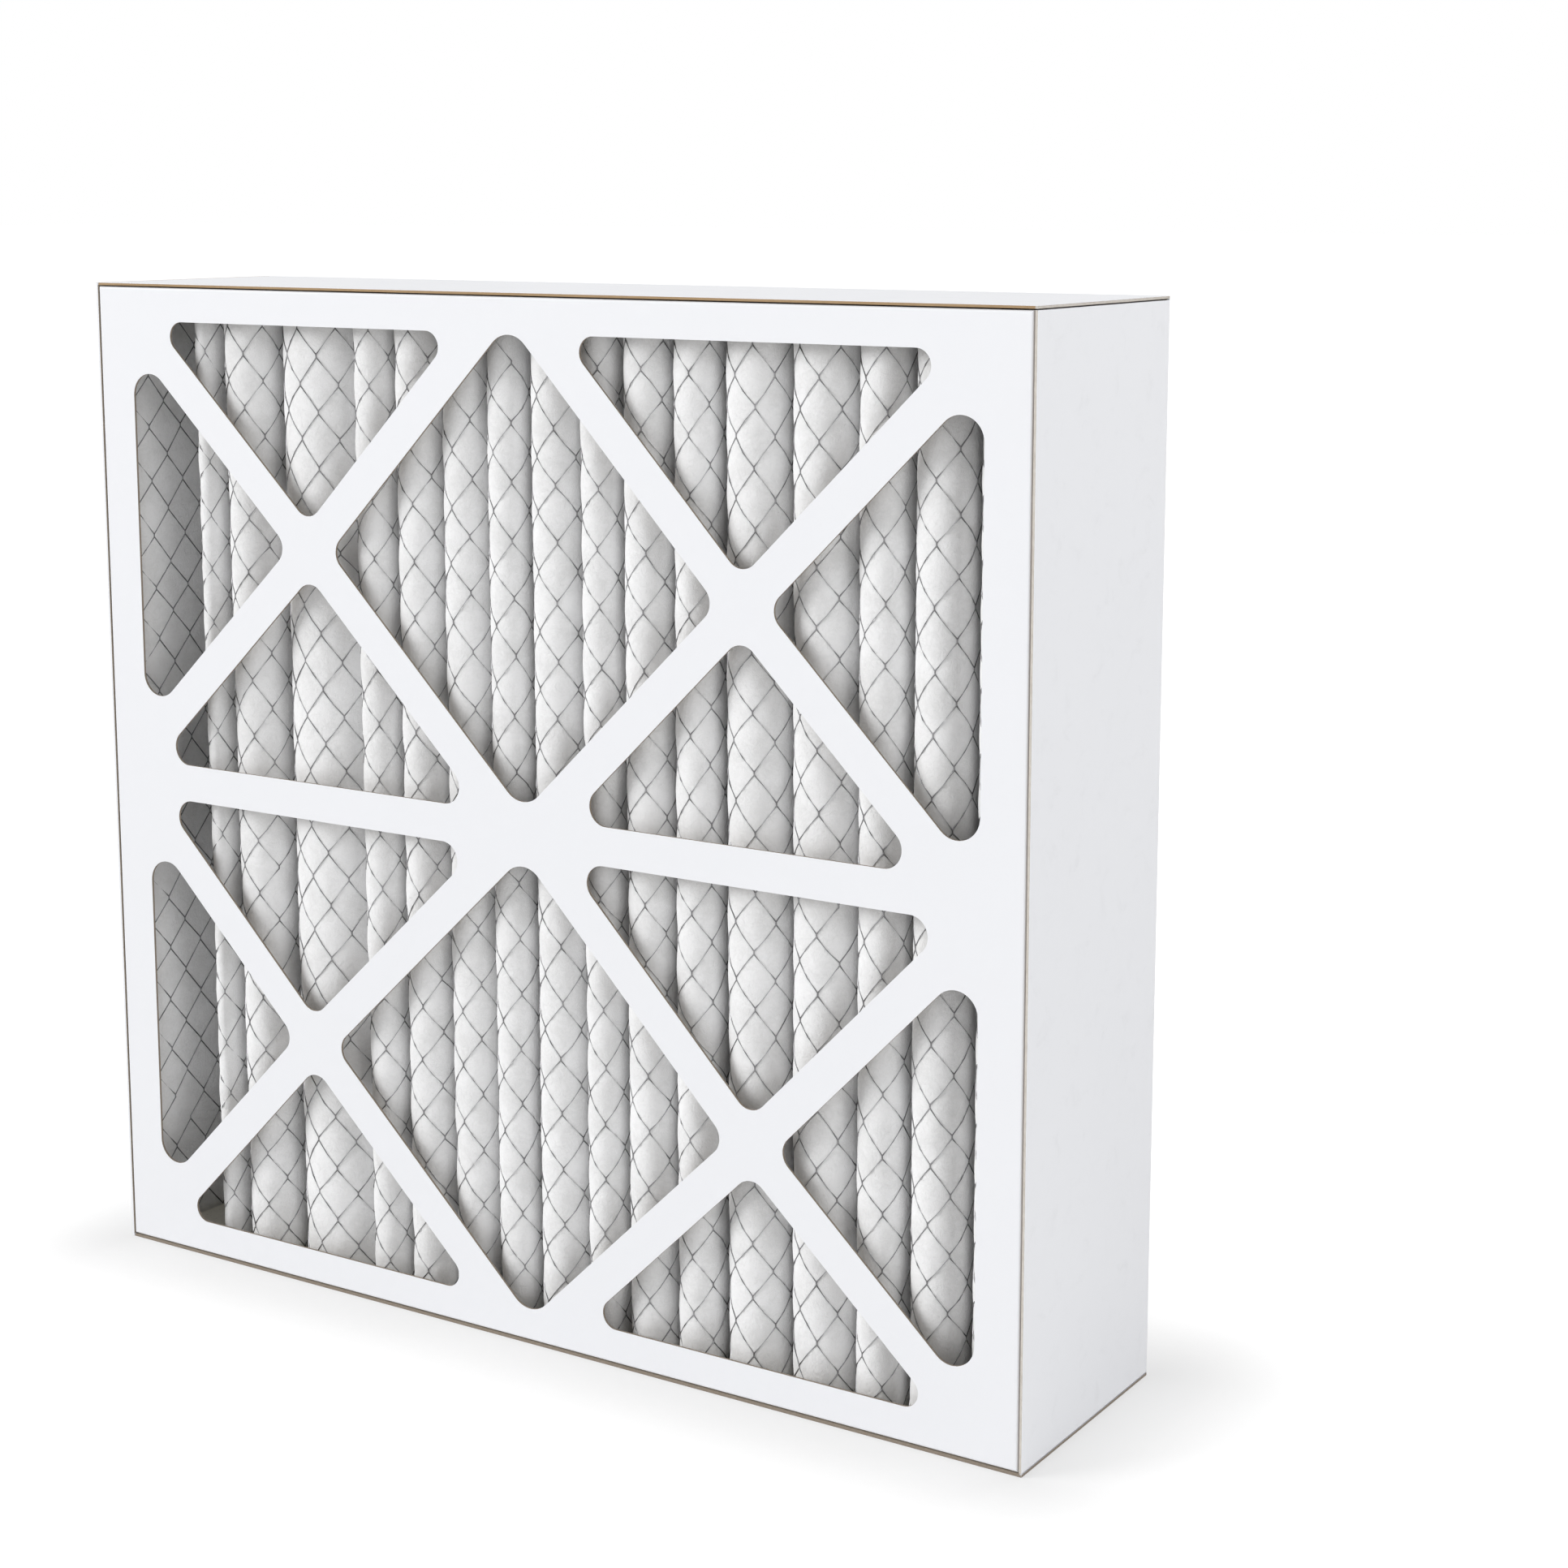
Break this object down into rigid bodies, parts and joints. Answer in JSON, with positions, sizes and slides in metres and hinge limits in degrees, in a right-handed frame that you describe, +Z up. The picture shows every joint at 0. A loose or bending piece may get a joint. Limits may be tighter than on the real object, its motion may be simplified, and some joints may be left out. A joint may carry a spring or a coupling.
{
  "type": "pleated panel air filter",
  "caption": "Square-sided panel air filter: pleated, mesh-backed media held in two nested card trays with diamond-braced windows.",
  "frame": {"origin": "middle of the underside, where the filter stands on its lower edge", "axes": "+X along the width, +Y along the depth towards the rear face, +Z up"},
  "size_m": [0.502, 0.12, 0.475],
  "materials": {
    "board_outer": "white coated board, satin",
    "board_inner": "white coated board, satin",
    "media": "soft non-woven fibre",
    "mesh": "galvanised expanded wire mesh",
    "glue": "set adhesive, satin"
  },
  "bodies": {
    "root": {"rear_frame": "board_outer", "front_frame": "board_inner", "pleated_media": "media", "wire_mesh": "mesh", "top_glue_bed": "glue", "bottom_glue_bed": "glue", "left_edge_glue": "glue", "right_edge_glue": "glue"}
  },
  "joints": []
}
